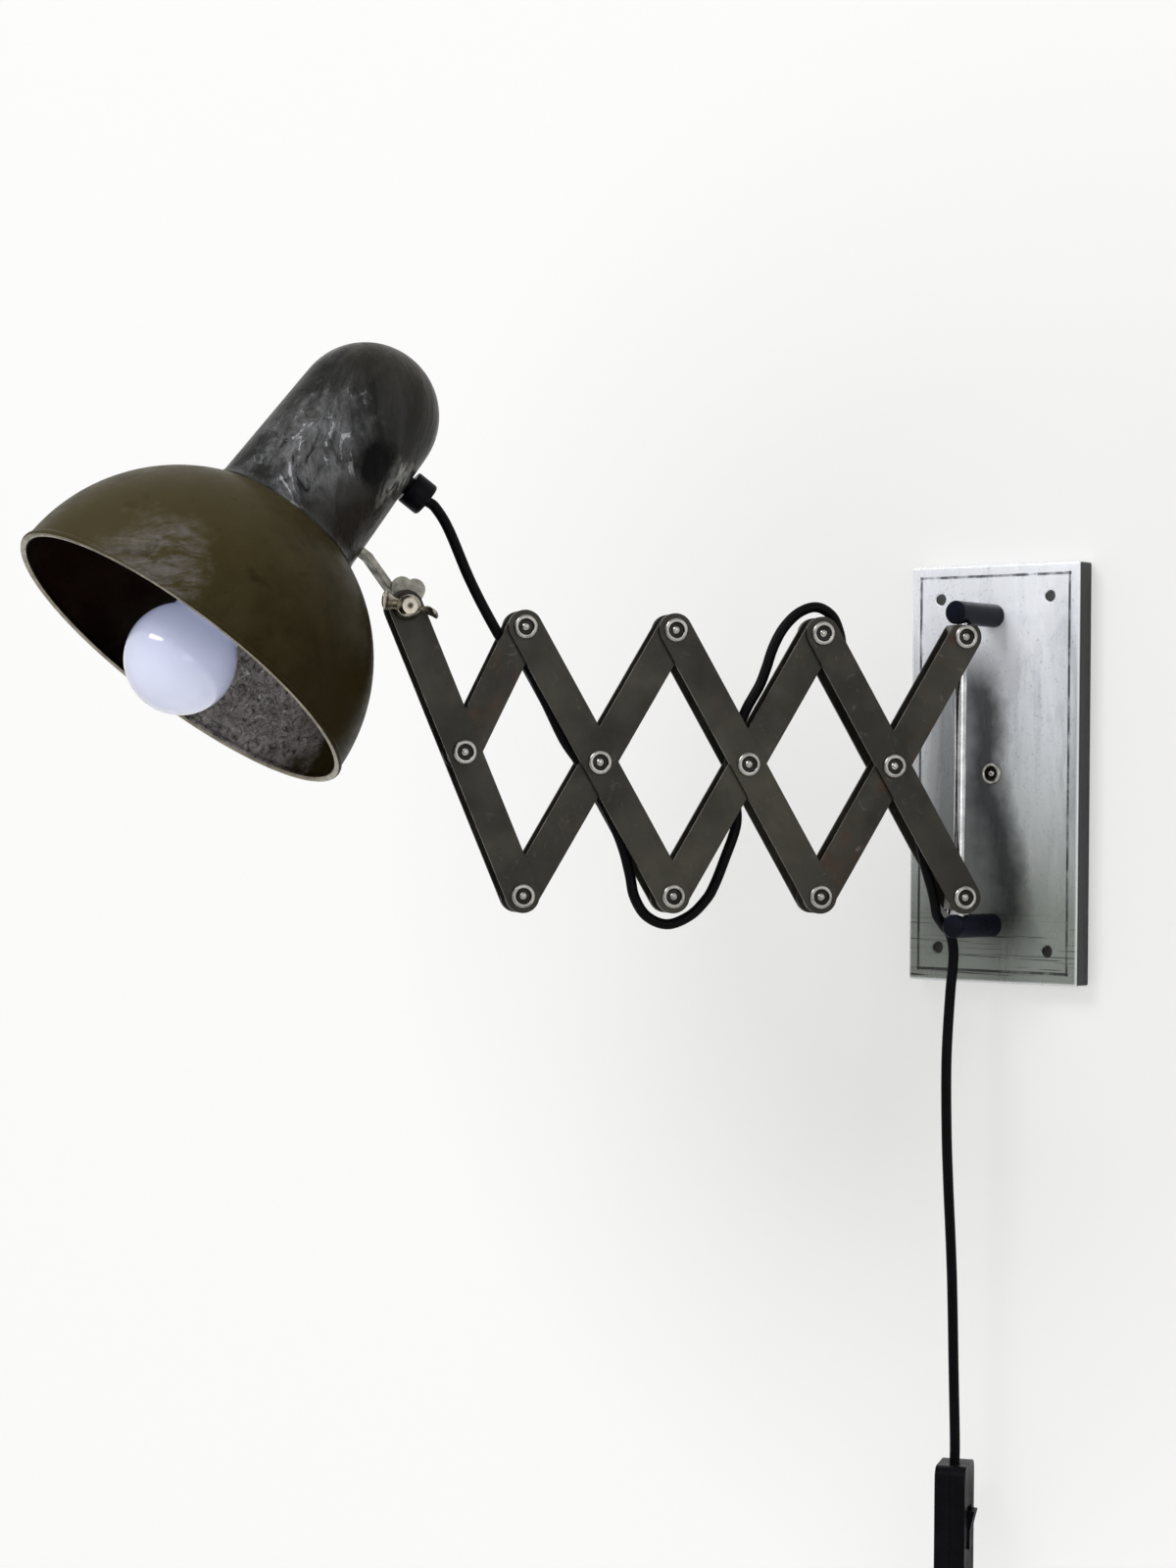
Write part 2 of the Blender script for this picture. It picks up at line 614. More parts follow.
CAMERA_AT = Vector((771.95, -1226.63, -14.99)) * MM
CAMERA_YAW = -0.6859
CAMERA_PITCH = 0.0061
CAMERA_ROLL = 0.0100
FOCAL_PX = 3400.0
PICTURE_HIGH_PX = 1600.0


def make_camera():
    data = bpy.data.cameras.new("camera")
    cam = bpy.data.objects.new("camera", data)
    bpy.context.scene.collection.objects.link(cam)
    level = math.cos(CAMERA_PITCH)
    ahead = Vector((math.sin(CAMERA_YAW) * level, math.cos(CAMERA_YAW) * level, math.sin(CAMERA_PITCH)))
    right = Vector((math.cos(CAMERA_YAW), -math.sin(CAMERA_YAW), 0))
    over = right.cross(ahead)
    x = math.cos(CAMERA_ROLL) * right + math.sin(CAMERA_ROLL) * over
    y = math.cos(CAMERA_ROLL) * over - math.sin(CAMERA_ROLL) * right
    cam.matrix_world = Matrix.Translation(CAMERA_AT) @ Matrix((x, y, -ahead)).transposed().to_4x4()
    data.sensor_width = 36.0
    data.lens = FOCAL_PX / PICTURE_HIGH_PX * data.sensor_width
    data.clip_start, data.clip_end = 0.01, 50
    bpy.context.scene.camera = cam


def add_plane(name, wide, high, at, turn, material):
    start()
    bpy.ops.mesh.primitive_plane_add(size=1, location=at, rotation=turn)
    obj = bpy.context.object
    obj.name = name
    obj.scale = (wide, high, 1)
    obj.data.materials.append(material)


BACKDROP_LIFT, EDGE_SOFT = 0.85, 0.2 * MM


def wall_paint(rgb):
    """Pale wall, lifted to near white except behind the plate, and less near it; clear from behind."""
    s = Surface("wall_paint", 0.9)
    s.set("Base Color", s.mix(s.noise(3, 2), rgb, scaled(rgb, 0.985)))
    path = s.add("ShaderNodeLightPath")
    seen = s.math("MAXIMUM", path.outputs["Is Camera Ray"], path.outputs["Is Transmission Ray"])
    at = s.add("ShaderNodeNewGeometry").outputs["Position"]
    s.place = at
    near_plate = s.between(s.spot((10, 0, 0), 380.0), 0.0, 1.0, BACKDROP_LIFT, BACKDROP_LIFT * 0.5)
    past = []
    for axis, whole in (("X", PLATE_W), ("Z", PLATE_H)):
        edge = (whole / 2 - PLATE_T) * MM
        past.append(s.between(s.math("ABSOLUTE", s.along(axis)), edge - EDGE_SOFT, edge + EDGE_SOFT))
    lift = s.times(s.times(seen, near_plate), s.math("MAXIMUM", *past))
    white = s.add("ShaderNodeEmission", {"Color": (0.995, 0.995, 0.99, 1.0), "Strength": 1.0})
    front = s.add("ShaderNodeMixShader", {0: lift, 1: s.shader.outputs[0], 2: white.outputs[0]})
    back = s.add("ShaderNodeNewGeometry").outputs["Backfacing"]
    clear = s.add("ShaderNodeBsdfTransparent")
    lit = s.add("ShaderNodeMixShader", {0: back, 1: front.outputs[0], 2: clear.outputs[0]})
    s.links.new(lit.outputs[0], s.nodes["Material Output"].inputs["Surface"])
    return s.material


def add_lamp(name, at, aim, wide, high, watts, tint=(1, 1, 1)):
    data = bpy.data.lights.new(name, "AREA")
    data.shape, data.size, data.size_y = "RECTANGLE", wide, high
    data.energy, data.color = watts, tint
    lamp = bpy.data.objects.new(name, data)
    bpy.context.scene.collection.objects.link(lamp)
    lamp.location = at
    lamp.rotation_euler = (Vector(aim) - Vector(at)).to_track_quat("-Z", "Y").to_euler()


def make_world():
    world = bpy.data.worlds.new("studio")
    bpy.context.scene.world = world
    world.use_nodes = True
    nodes, links = world.node_tree.nodes, world.node_tree.links
    path = nodes.new("ShaderNodeLightPath")
    seen = nodes.new("ShaderNodeMath")
    seen.operation = "MAXIMUM"
    links.new(path.outputs["Is Camera Ray"], seen.inputs[0])
    links.new(path.outputs["Is Transmission Ray"], seen.inputs[1])
    strength = nodes.new("ShaderNodeMapRange")
    strength.inputs["To Min"].default_value = 0.5
    strength.inputs["To Max"].default_value = 1.0
    links.new(seen.outputs[0], strength.inputs["Value"])
    links.new(strength.outputs["Result"], nodes["Background"].inputs["Strength"])
    nodes["Background"].inputs["Color"].default_value = (1, 1, 1, 1)


class LAMP_OT_stage(bpy.types.Operator):
    """Add the camera, the pale wall and floor, and soft light"""

    bl_idname = "lamp.stage"
    bl_label = "Stage"

    def execute(self, context):
        make_camera()
        paint_on = wall_paint(tuple(context.scene.lamp_colours.wall))
        add_plane("wall", 6, 6, (0, 0.0015, 0), (math.radians(90), 0, 0), paint_on)
        add_plane("floor", 6, 6, (0, -3.0, -1.2), (0, 0, 0), paint_on)
        add_lamp("key", (-0.5, -1.5, 1.3), (-0.12, -0.15, 0.0), 1.0, 0.8, 17)
        add_lamp("fill", (1.7, -1.0, 0.4), (0.0, -0.1, 0.0), 1.2, 1.2, 5)
        make_world()
        context.scene.view_settings.view_transform = "Standard"
        return {"FINISHED"}


# Cord

SPAN = [(229.36, 108.52, -6.24), (225.85, 105.87, -6.24), (220.5, 97, -4.99), (212.3, 77, -2.18)]
SPAN += [(204, 60.5), (197.5, 50.5), (189.5, 44)]
RISING_3 = [(189.5, 44), (180, 26.5), (172, 11), (163.6, -0.6), (154, -17), (147.5, -31), (144, -43)]
LOOP_LOW = [(144, -43), (141.8, -53), (136.5, -61), (127.6, -64.4), (118, -60.8), (111, -54), (107.5, -48)]
FALLING_2 = [(107.5, -48), (103.5, -38), (98.4, -23), (99.2, -11), (101.4, 1), (99.8, 12), (94.6, 25)]
FALLING_2 += [(88.9, 35.1), (86, 42.5)]
LOOP_TOP = [(86, 42.5), (82.9, 51.6), (78.4, 59.8), (71.8, 66.2), (64.2, 68.6), (57.4, 65), (54, 57.5)]
LOOP_TOP += [(52.4, 48.5)]
RISING_1 = [(52.4, 48.5), (47.5, 36), (37, 20), (27.4, 5.6), (22, -8), (19.5, -20), (17, -32), (14.8, -41)]
RISING_1 += [(12.6, -48)]
WRAP = [(-7, -42.6, -55), (-7.8, -39.6, -60.5), (-8.2, -34, -64.8), (-8.1, -28.6, -69), (-7.8, -26.6, -76)]
DROP = [(-7.8, -26.6, -76), (-7.6, -27.4, -84), (-7.5, -29.2, -94), (-7.5, -31.6, -121.5)]
DROP += [(-7.5, -31.1, -151), (-7.5, -29.4, -175), (-7.5, -25.9, -214), (-7.5, -23.8, -256)]
DROP += [(-7.5, -22.4, -284), (-7.5, -22.4, -294.5)]
BUSH_END = 41.0
BUSH_DOWN = 42.0
IN_SHADE = [(x, 0, BUSH_DOWN) for x in (BUSH_END, BUSH_END - 5, 26)]
IN_SHADE += [(14, 0, 47.05), (4, 0, 55.48), (0, 0, 64.57), (0, 0, 75.69)]
ROUTE_STEPS, SPAN_STEPS = 8, 12
CORD_SIDES = 5

SWITCH_LEN = 62.0
COIL_R = 31.0
COIL_STEP = 4.95
COIL_LAYERS = 4
COIL_LAYER_TURNS = 2.5
COIL_LEAD = 30.0
COIL_END_RUN = 44.0
COIL_RINGS = 36


def smooth(points, before=None, after=None, steps=ROUTE_STEPS):
    """A smooth line through hand-placed points; before and after lie on the lengths that join it."""
    points = [Vector(p) for p in points]
    way = [before or points[0], *points, after or points[-1]]
    line = []
    for a, b, c, d in zip(way, way[1:], way[2:], way[3:]):
        for k in range(steps):
            t = k / steps
            bent = 2 * b + (c - a) * t + (2 * a - 5 * b + 4 * c - d) * t**2
            line.append(0.5 * (bent + (3 * b - a - 3 * c + d) * t**3))
    return line + [points[-1]]


def arm_line(points):
    """Points given as (u, z) or (u, z, n) in the arm, in metres."""
    return [ARM @ Vector((p[0], p[2] if len(p) > 2 else 0, p[1])) for p in points]


def room_line(points):
    return [Vector(p) * MM for p in points]


def tube(name, line, diameter):
    """A round tube along a line, as a mesh."""
    data = bpy.data.curves.new(name, "CURVE")
    data.dimensions = "3D"
    spline = data.splines.new("POLY")
    spline.points.add(len(line) - 1)
    for point, at in zip(spline.points, line):
        point.co = (*at, 1.0)
    data.bevel_depth, data.bevel_resolution, data.use_fill_caps = diameter / 2, CORD_SIDES, True
    obj = bpy.data.objects.new(name, data)
    bpy.context.scene.collection.objects.link(obj)
    start(obj)
    bpy.ops.object.convert(target="MESH")
    obj = bpy.context.object
    obj.name = obj.data.name = name
    edit(obj)
    bpy.ops.mesh.remove_doubles(threshold=1e-6)
    bpy.ops.mesh.normals_make_consistent(inside=False)
    bpy.ops.object.mode_set(mode="OBJECT")
    bpy.ops.object.shade_smooth_by_angle(angle=math.radians(50))
    dress(obj, "cord")
    return obj


def lead(name, line, bodies, nodes):
    """One length of the cord, on one body or bending between two."""
    diameter = bpy.context.scene.lamp_sizes.cord_d
    obj = tube(name, line, diameter)
    if len(bodies) == 2:
        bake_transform(obj)
    else:
        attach(obj, bodies[0])
    if nodes:
        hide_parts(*nodes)


def coil_line():
    """Spare cord: flat layers wound in, out, in and out again, then down to the plug."""
    top = Vector(DROP[-1]) - Vector((0, 0, SWITCH_LEN))
    centre = top + Vector((-COIL_R, 0, -COIL_LEAD))
    layer = 360 * COIL_LAYER_TURNS
    whole = layer * COIL_LAYERS

    def climbed(a, k):
        t = min(1.0, max(0.0, (a - k * layer + 90) / 180))
        return t * t * (3 - 2 * t)

    def at(a):
        k = math.floor(a / layer)
        part = a - k * layer
        turns_in = (part if k % 2 == 0 else layer - part) / 360
        deep = sum(climbed(a, k) for k in range(1, COIL_LAYERS))
        r = COIL_R - COIL_STEP * turns_in
        turn = math.radians(a)
        return centre + Vector((r * math.cos(turn), -COIL_STEP * deep, -r * math.sin(turn)))

    rings = int(COIL_RINGS * COIL_LAYERS * COIL_LAYER_TURNS)
    last = at(whole)
    line = [top, top - Vector((0, 0, CORD_D)), top - Vector((0, 0, COIL_LEAD / 2))]
    line += [at(360 * k / COIL_RINGS) for k in range(rings + 1)]
    line += [last - Vector((0, 0, COIL_END_RUN * k)) for k in (0.5, 0.9, 1.0)]
    return room_line(line)


class LAMP_OT_cords(bpy.types.Operator):
    """Add the cord: along the arm in lengths, down to the switch, and the tied spare coil"""

    bl_idname = "lamp.cords"
    bl_label = "Cords"

    def execute(self, context):
        bush_end, past_bush = Vector(SPAN[0]), Vector(SPAN[1])
        routes = [arm_line([2 * bush_end - past_bush])]
        routes += [arm_line(points) for points in (SPAN, RISING_3, LOOP_LOW, FALLING_2, LOOP_TOP, RISING_1)]
        routes += [routes[-1][-1:] + room_line(WRAP), room_line(DROP)]
        routes += [[routes[-1][-1] - CORD_D * MM * UP]]

        def line(k, steps=ROUTE_STEPS):
            before, after = routes[k - 1], routes[k + 1]
            return smooth(routes[k], before[max(0, len(before) - 2)], after[min(1, len(after) - 1)], steps)

        span = line(1, SPAN_STEPS)
        first, second = SPAN_STEPS * 3, SPAN_STEPS * 9 // 2
        lead("span_at_shade", span[: first + 1], ["shade", "rising_4"], ["lead_span"])
        lead("span_middle", span[first : second + 1], ["rising_4", "end_links"], [])
        lead("span_at_arm", span[second:], ["end_links", "rising_3"], [])
        lengths = [
            ("cord_in_rising_3", ["rising_3"], "lead_rising_3"),
            ("cord_loop_low", ["rising_3", "falling_2"], "lead_loop_low"),
            ("cord_in_falling_2", ["falling_2"], "lead_falling_2"),
            ("cord_loop_top", ["falling_2", "rising_1"], "lead_loop_top"),
            ("cord_in_rising_1", ["rising_1"], "lead_rising_1"),
        ]
        for k, (name, bodies, node) in enumerate(lengths, 2):
            lead(name, line(k), bodies, [node])
        wrap = line(7)
        split = ROUTE_STEPS * 2
        lead("wrap_at_collar", wrap[: split + 1], ["rising_1", "swivel"], ["lead_wrap"])
        lead("wrap_at_peg", wrap[split:], ["swivel", "wall_mount"], [])
        wall = ["wall_mount"]
        lead("cord_to_wall_switch", line(8), wall, ["cord_to_switch"])
        lead("spare_cord", coil_line(), wall, ["cord_coil"])
        inside = [SHADE @ p for p in smooth(IN_SHADE)]
        lead("cord_in_neck", inside, ["shade"], ["lead_in_shade"])
        return {"FINISHED"}


# Wall plate

PLATE_W, PLATE_H, PLATE_DEPTH, PLATE_T = 85.0, 180.0, 9.0, 1.5
HOLE_ACROSS, HOLE_UP, HOLE_D = 55.0, 151.0, 5.0


def hole_cutter(x, y, diameter):
    """A drill with a small chamfer, in the plate's own axes."""
    r = diameter / 2
    profile = [(0, -1), (r, -1), (r, PLATE_DEPTH - 0.5), (r + 0.9, PLATE_DEPTH + 0.4), (0, 12)]
    cutter = turned("drill", profile, 40)
    cutter.data.transform(Matrix.Translation((x, y, 0)))
    return cutter


class LAMP_OT_plate(bpy.types.Operator):
    """Add the pressed wall plate with its line, holes and screws"""

    bl_idname = "lamp.plate"
    bl_label = "Wall plate"

    def execute(self, context):
        sizes = context.scene.lamp_sizes
        start()
        box = (PLATE_W, PLATE_H, PLATE_DEPTH)
        bpy.ops.mesh.primitive_cube_add(size=1, location=(0, 0, PLATE_DEPTH / 2), scale=box)
        obj = named("plate_tray")
        edge = sizes.plate_edge / MM
        edit(obj)
        pick(obj, "edges", lambda e: max(p.z for p in ends(e)) > PLATE_DEPTH - 0.01)
        bpy.ops.mesh.bevel(offset=edge, segments=4, affect="EDGES")
        pick(obj, "faces", lambda f: f.normal.z < -0.9)
        bpy.ops.mesh.delete(type="FACE")
        pick(obj, "faces", lambda f: f.normal.z > 0.99 and f.calc_area() > 1000)
        deep = sizes.groove_deep / MM
        for inset, depth in ((sizes.groove_in / MM - edge, 0), (0.4, -deep), (0.35, 0), (0.4, deep)):
            bpy.ops.mesh.inset(thickness=inset, depth=depth)
        bpy.ops.mesh.inset(thickness=12, depth=0)
        bpy.ops.object.mode_set(mode="OBJECT")
        modified(obj, "SOLIDIFY", thickness=PLATE_T, offset=-1.0)
        drills = [hole_cutter(x * HOLE_ACROSS / 2, y * HOLE_UP / 2, HOLE_D) for x in (-1, 1) for y in (-1, 1)]
        cut(obj, joined("drills", drills))
        done(obj, ROOM, "plate", "wall_mount", ["wall_plate"], 30, flat=True)
        self.screw()
        from_node("peg_fixings", "peg_screws", 0.2 * MM, "rivet", "wall_mount")
        return {"FINISHED"}

    def screw(self):
        """Domed screw in the plate's middle, ringed and dished like the rivets."""
        head = head_on("centre_head", 4.7, 2.2)
        head.data.transform(Matrix.Translation((0, 0, PLATE_DEPTH)))
        shank = turned("centre_shank", [(0, 3.2), (2, 3.2), (2, PLATE_DEPTH), (0, PLATE_DEPTH)], 24)
        nut = turned("centre_nut", [(2.1, 4.5), (4, 4.5), (4, 7.4), (2.1, 7.4), (2.1, 4.5)], 6)
        obj = joined("centre_screw", [head, shank, nut])
        done(obj, ROOM, None, "wall_mount", ["plate_centre_screw"])


# Rivets and screws

# Radius and height of a head's outline, as shares of its whole radius and height
HEAD_PROFILE = [(0.990, 0.00), (1.000, 0.20), (0.985, 0.48), (0.930, 0.78), (0.840, 0.96), (0.740, 1.00)]
HEAD_PROFILE += [(0.670, 0.88), (0.620, 0.62), (0.580, 0.42), (0.500, 0.36), (0.380, 0.38), (0.310, 0.52)]
HEAD_PROFILE += [(0.250, 0.78), (0.150, 0.92), (0.000, 0.96)]


def head_on(name, radius, height):
    """A riveted head: a raised bright ring, a dark dish and a small button in the middle."""
    obj = turned(name, [(0, 0)] + [(r * radius, z * height) for r, z in HEAD_PROFILE], 48)
    dress(obj, "rivet")

    def dished(face):
        middle = Vector((face.center.x, face.center.y))
        return 0.3 * radius < middle.length < 0.66 * radius and face.normal.z > -0.5

    paint_faces(obj, "rivet_dark", dished)
    return obj


HALF_TURN = Matrix.Rotation(math.pi, 4, "X")
HEAD_R, HEAD_H, HEAD_N = 5.0, 1.5, 7.4
SHANK_R, SPACER_R, SPACER_BORE, SPACER_HALF = 2.0, 3.0, 2.1, 3.95


def rivet(point):
    """One rivet through both lattices, with its spacer tube."""
    front = head_on("head_front", HEAD_R, HEAD_H)
    front.data.transform(Matrix.Translation((0, 0, HEAD_N)))
    rear = head_on("head_rear", HEAD_R, HEAD_H)
    rear.data.transform(HALF_TURN @ Matrix.Translation((0, 0, HEAD_N)))
    shank = turned("shank", [(0, -HEAD_N), (SHANK_R, -HEAD_N), (SHANK_R, HEAD_N), (0, HEAD_N)], 24)
    bore, half = SPACER_BORE, SPACER_HALF
    sleeve = [(bore, -half), (SPACER_R, -half), (SPACER_R, half), (bore, half), (bore, -half)]
    spacer = turned("spacer", sleeve, 32)
    obj = joined("rivet", [front, rear, shank, spacer])
    obj.data.transform(on_pivot(point))
    return obj


class LAMP_OT_rivets(bpy.types.Operator):
    """Add the rivets that pin the bars together"""

    bl_idname = "lamp.rivets"
    bl_label = "Rivets"

    def execute(self, context):
        sets = [
            ("pins_1", "rivets_1", "rising_1", [MIDS[0], TOPS[0]]),
            ("pins_2", "rivets_2", "rising_2", [LOWS[0], MIDS[1], TOPS[1]]),
            ("pins_3", "rivets_3", "rising_3", [LOWS[1], MIDS[2], TOPS[2]]),
            ("pin_low_3", "rivet_low_3", "falling_3", [LOWS[2]]),
            ("pin_mid_4", "rivet_mid_4", "rising_4", [MIDS[3]]),
        ]
        for name, node, body, places in sets:
            obj = joined(name, [rivet(p) for p in places])
            done(obj, None, None, body, [node])
        return {"FINISHED"}


# Bars, collars, pegs and rod


class LAMP_OT_bars(bpy.types.Operator):
    """Add the flat bars of both lattices with rounded edges"""

    bl_idname = "lamp.bars"
    bl_label = "Bars"

    def execute(self, context):
        edge = context.scene.lamp_sizes.edge
        groups = [("rising_bar", k, f"rising_{k}") for k in (1, 2, 3, 4)]
        groups += [("falling_bar", k, f"falling_{k}") for k in (1, 2, 3)] + [("end_link", 0, "end_links")]
        browned = ("end_link_front", "falling_bar_1_front")
        for kind, number, body in groups:
            for side in ("front", "rear"):
                node = f"{kind}_{number}_{side}" if number else f"{kind}_{side}"
                finish = "bar_brown" if node in browned else "bar"
                from_node(f"{node}_strip", node, edge, finish, body, smooth_angle=30)
        return {"FINISHED"}


class LAMP_OT_pegs(bpy.types.Operator):
    """Add the pegs, the rod between them and the washer"""

    bl_idname = "lamp.pegs"
    bl_label = "Pegs and rod"

    def execute(self, context):
        for side in ("top", "bottom"):
            from_node(f"{side}_peg_black", f"{side}_peg", 0.35 * MM, "peg", "wall_mount", 3)
        from_node("rod_bright", "slide_rod", 0.3 * MM, "rod", "wall_mount")
        from_node("washer_bright", "stop_washer", 0.25 * MM, "rod", "wall_mount")
        return {"FINISHED"}


UPPER_FACE_N, SCREW_FROM = 5.65, 2.8


class LAMP_OT_collars(bpy.types.Operator):
    """Add the collars that ride on the rod and their screws"""

    bl_idname = "lamp.collars"
    bl_label = "Collars"

    def execute(self, context):
        collars = (("lower", "swivel", LOW_1, HEAD_N), ("upper", "slider", HIGH_1, UPPER_FACE_N))
        for level, body, point, face in collars:
            node = f"{level}_collar"
            from_node(f"{level}_block", node, 0.4 * MM, "collar", body, 3)
            parts = []
            for turn in (0, math.pi):
                head = head_on("head", HEAD_R, HEAD_H)
                head.data.transform(Matrix.Translation((0, 0, face)))
                core = [(0, SCREW_FROM), (SHANK_R, SCREW_FROM), (SHANK_R, face), (0, face)]
                shank = turned("shank", core, 24)
                pair = joined("screw", [head, shank])
                pair.data.transform(Matrix.Rotation(turn, 4, "X"))
                parts.append(pair)
            obj = joined(f"{level}_block_screws", parts)
            done(obj, on_pivot(point), None, body, [f"{node}_screws"])
        return {"FINISHED"}


# Tilt bolt, wing nut and bracket

WING_TURN = -12.0
WING_OUT, WING_W, WING_T, WING_RISE = 10.0, 9.0, 1.7, 28.0


def wing(turn, roll):
    """One wing: a block waisted near the hub, swelled to a lobe and smoothed."""
    start()
    block = (WING_OUT, WING_W * 0.62, WING_T)
    bpy.ops.mesh.primitive_cube_add(size=1, location=(WING_OUT / 2, 0, 0), scale=block)
    obj = named("wing")
    edit(obj)
    pick(obj, "edges", lambda e: abs(ends(e)[0].x - ends(e)[1].x) > 1)
    bpy.ops.mesh.subdivide(number_cuts=5)
    rings = ((0.17, 0.9, 1.15), (0.33, 1.0, 0.95), (0.5, 1.35, 0.9), (0.67, 1.62, 0.95), (0.83, 1.6, 1.05))
    for place, width, thick in rings:
        pick(obj, "verts", lambda v: abs(v.co.x / WING_OUT - place) < 0.03)
        bpy.ops.transform.resize(value=(1, width, thick), center_override=(place * WING_OUT, 0, 0))
    pick(obj, "verts", lambda v: v.co.x > 0.97 * WING_OUT)
    bpy.ops.transform.resize(value=(1, 1.0, 1.1), center_override=(WING_OUT, 0, 0))
    pick(obj, "verts", lambda v: v.co.x > 0.75 * WING_OUT)
    bpy.ops.transform.translate(value=(0, 0, 0.9))
    bpy.ops.object.mode_set(mode="OBJECT")
    modified(obj, "SUBSURF", levels=2, render_levels=2)
    place = Matrix.Rotation(math.radians(turn), 4, "Z") @ Matrix.Translation((3.4, 0, 3))
    place = place @ Matrix.Rotation(math.radians(-WING_RISE), 4, "Y")
    obj.data.transform(place @ Matrix.Rotation(math.radians(roll), 4, "X"))
    return obj


class LAMP_OT_tilt(bpy.types.Operator):
    """Add the tilt bolt, its wing nut and the shade's bracket"""

    bl_idname = "lamp.tilt"
    bl_label = "Bracket and wing nut"

    def execute(self, context):
        hub = [(2.55, 0), (5.8, 0), (5.75, 0.7), (5.2, 1.7), (4.85, 3.0), (4.8, 4.2), (4.85, 5.6)]
        hub += arc(0, 6.0, 4.8, 0, 46, 6) + [(2.9, 9.35), (1.6, 9.45), (0, 9.5)]
        hub_piece = turned("hub", hub + [(0, 6.9), (2.55, 6.9), (2.55, 0)], 40)
        nut = joined("nut_with_wings", [hub_piece, wing(WING_TURN, 10), wing(WING_TURN + 180, 68)])
        nut.data.transform(Matrix.Translation((0, 0, HEAD_N)))
        done(nut, on_pivot(TILT), "nut", "wing_nut", ["wing_nut"], 40)
        shank = turned("shank", [(0, -HEAD_N), (2.5, -HEAD_N), (2.5, 13.9), (2.2, 14.2), (0, 14.2)], 32)
        dome = [(0, HEAD_N), (5.2, HEAD_N), (5.5, 8.0)] + arc(0, 5.6, 5.6, 30, 88, 9) + [(0, 11.2)]
        knob = turned("knob", dome, 40)
        knob.data.transform(HALF_TURN)
        bolt = joined("bolt", [shank, knob])
        done(bolt, on_pivot(TILT), "moulding", "rising_4", ["tilt_bolt"])
        from_node("bracket_strap", "shade_bracket", 0.35 * MM, "strap", "shade", angle=40)
        return {"FINISHED"}


# Shade

SHADE_LEN, BOWL_R, SHEET = 158.4, 76.7, 0.8
NECK_R, NECK_LOW_R = 30.0, 32.0
RIM_R, DISC_UP = 1.5, 9.0
NECK_END = SHADE_LEN - math.sqrt(BOWL_R**2 - NECK_LOW_R**2) - 4
DISC_DOWN = NECK_END - DISC_UP
# The bracket's strap, the room round it in its slot, and the gap over it
STRAP_W, STRAP_T, SLOT_ROOM, STRAP_GAP = 8.0, 2.4, 0.3, 0.1
SLOT_IN, SLOT_OUT = 10.0, 60.0


def bowl_height(radius, ball):
    return SHADE_LEN - math.sqrt(ball**2 - radius**2)


class LAMP_OT_shade(bpy.types.Operator):
    """Add the spun bowl with its rolled rim and the neck"""

    bl_idname = "lamp.shade"
    bl_label = "Shade"

    def execute(self, context):
        self.bowl()
        self.neck()
        return {"FINISHED"}

    def bowl(self):
        opening = NECK_LOW_R + 0.1
        inner = BOWL_R - SHEET
        top_out = -math.degrees(math.acos(opening / BOWL_R))
        top_in = -math.degrees(math.acos(opening / inner))
        outside = arc(0, SHADE_LEN, BOWL_R, top_out, -0.9, 30)
        roll = arc(BOWL_R - SHEET / 2, SHADE_LEN, RIM_R, -66, 246, 14)
        inside = arc(0, SHADE_LEN, inner, -0.9, top_in, 30)
        obj = turned("bowl_spun", outside + roll + inside + outside[:1], 128)
        dress(obj, "bowl")

        def within(face):
            return face.center.length > 0 and face.normal.dot(face.center - Vector((0, 0, SHADE_LEN))) < 0

        paint_faces(obj, "lining", within)
        crest = BOWL_R - SHEET / 2
        high = SHADE_LEN + RIM_R * 0.5
        paint_faces(obj, "rim", lambda f: f.center.z > high and math.hypot(*f.center.xy) < crest + 0.9)
        done(obj, SHADE, None, "shade", ["shade_bowl"], 40)

    def neck(self):
        bead = NECK_LOW_R + 2.2
        lip = NECK_LOW_R + 3.0
        gap = 0.1
        outside = arc(0, NECK_R, NECK_R, -90, 0, 20)
        widen, drop = NECK_LOW_R - NECK_R, NECK_END - NECK_R
        outside += [(NECK_R + widen * k / 8, NECK_R + drop * k / 8) for k in range(1, 9)]
        tuck = [(r, bowl_height(r, BOWL_R) - gap) for r in (bead, NECK_LOW_R)]
        tuck += [(r, bowl_height(r, BOWL_R - SHEET) + gap) for r in (NECK_LOW_R, lip)]
        outside += [(NECK_LOW_R + 0.35, NECK_END + 1.6), (NECK_LOW_R + 1.0, NECK_END + 3.2)]
        outside += [(bead, tuck[0][1] - 0.45)]
        low = tuck[-1][1] + SHEET
        inside = [(lip, low), (NECK_LOW_R - SHEET, low), (NECK_LOW_R - SHEET, NECK_END)]
        inside += [(NECK_R - SHEET, NECK_R)] + arc(0, NECK_R, NECK_R - SHEET, -6, -90, 14)
        obj = turned("neck_spun", outside + tuck + inside, 128)
        dress(obj, "neck")
        cut(obj, self.slot())
        done(obj, SHADE, None, "shade", ["shade_neck"], 40)

    def slot(self):
        """The cutter for the slot that the bracket's strap passes through."""
        half = STRAP_W / 2 + SLOT_ROOM
        low_corner = Vector((SLOT_IN, -half, DISC_DOWN - SLOT_ROOM))
        high_corner = Vector((SLOT_OUT, half, DISC_DOWN + STRAP_T + SLOT_ROOM))
        middle, extent = (low_corner + high_corner) / 2, high_corner - low_corner
        start()
        bpy.ops.mesh.primitive_cube_add(size=1, location=middle, scale=extent)
        cutter = named("slot")
        edit(cutter)
        pick(cutter, "edges", lambda e: abs(ends(e)[0].x - ends(e)[1].x) > 1)
        bpy.ops.mesh.bevel(offset=1.4, segments=4, affect="EDGES")
        bpy.ops.object.mode_set(mode="OBJECT")
        dress(cutter, "rim")
        return cutter


# Bulb and lampholder

